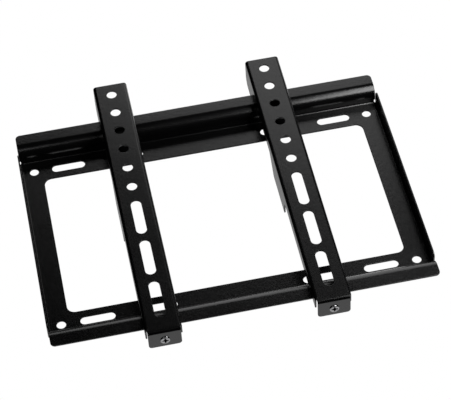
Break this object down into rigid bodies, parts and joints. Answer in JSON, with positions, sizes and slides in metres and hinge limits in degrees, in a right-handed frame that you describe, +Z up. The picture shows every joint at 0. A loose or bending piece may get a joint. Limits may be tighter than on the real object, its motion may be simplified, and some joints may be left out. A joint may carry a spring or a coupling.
{
  "type": "fixed television wall bracket",
  "caption": "Low-profile fixed wall bracket for a flat television: a folded frame with rails for the wall and hooked channel arms for the television, held by lock screws.",
  "frame": {"origin": "middle of the wall plate's four corner holes, on the plate's rear face, which lies on the wall", "axes": "+Y points into the wall, -Y to the room and the television, +Z up, +X to the viewer's right"},
  "size_m": [0.2876, 0.025, 0.2542],
  "materials": {
    "plate_coat": "semi-gloss black powder coat with a fine grain",
    "arm_coat": "satin black powder coat with a fine grain",
    "screw_black": "glossy black zinc plating"
  },
  "bodies": {
    "root": {"wall_plate": "plate_coat", "left_arm": "arm_coat", "right_arm": "arm_coat", "left_lock_screw": "screw_black", "right_lock_screw": "screw_black"}
  },
  "joints": []
}
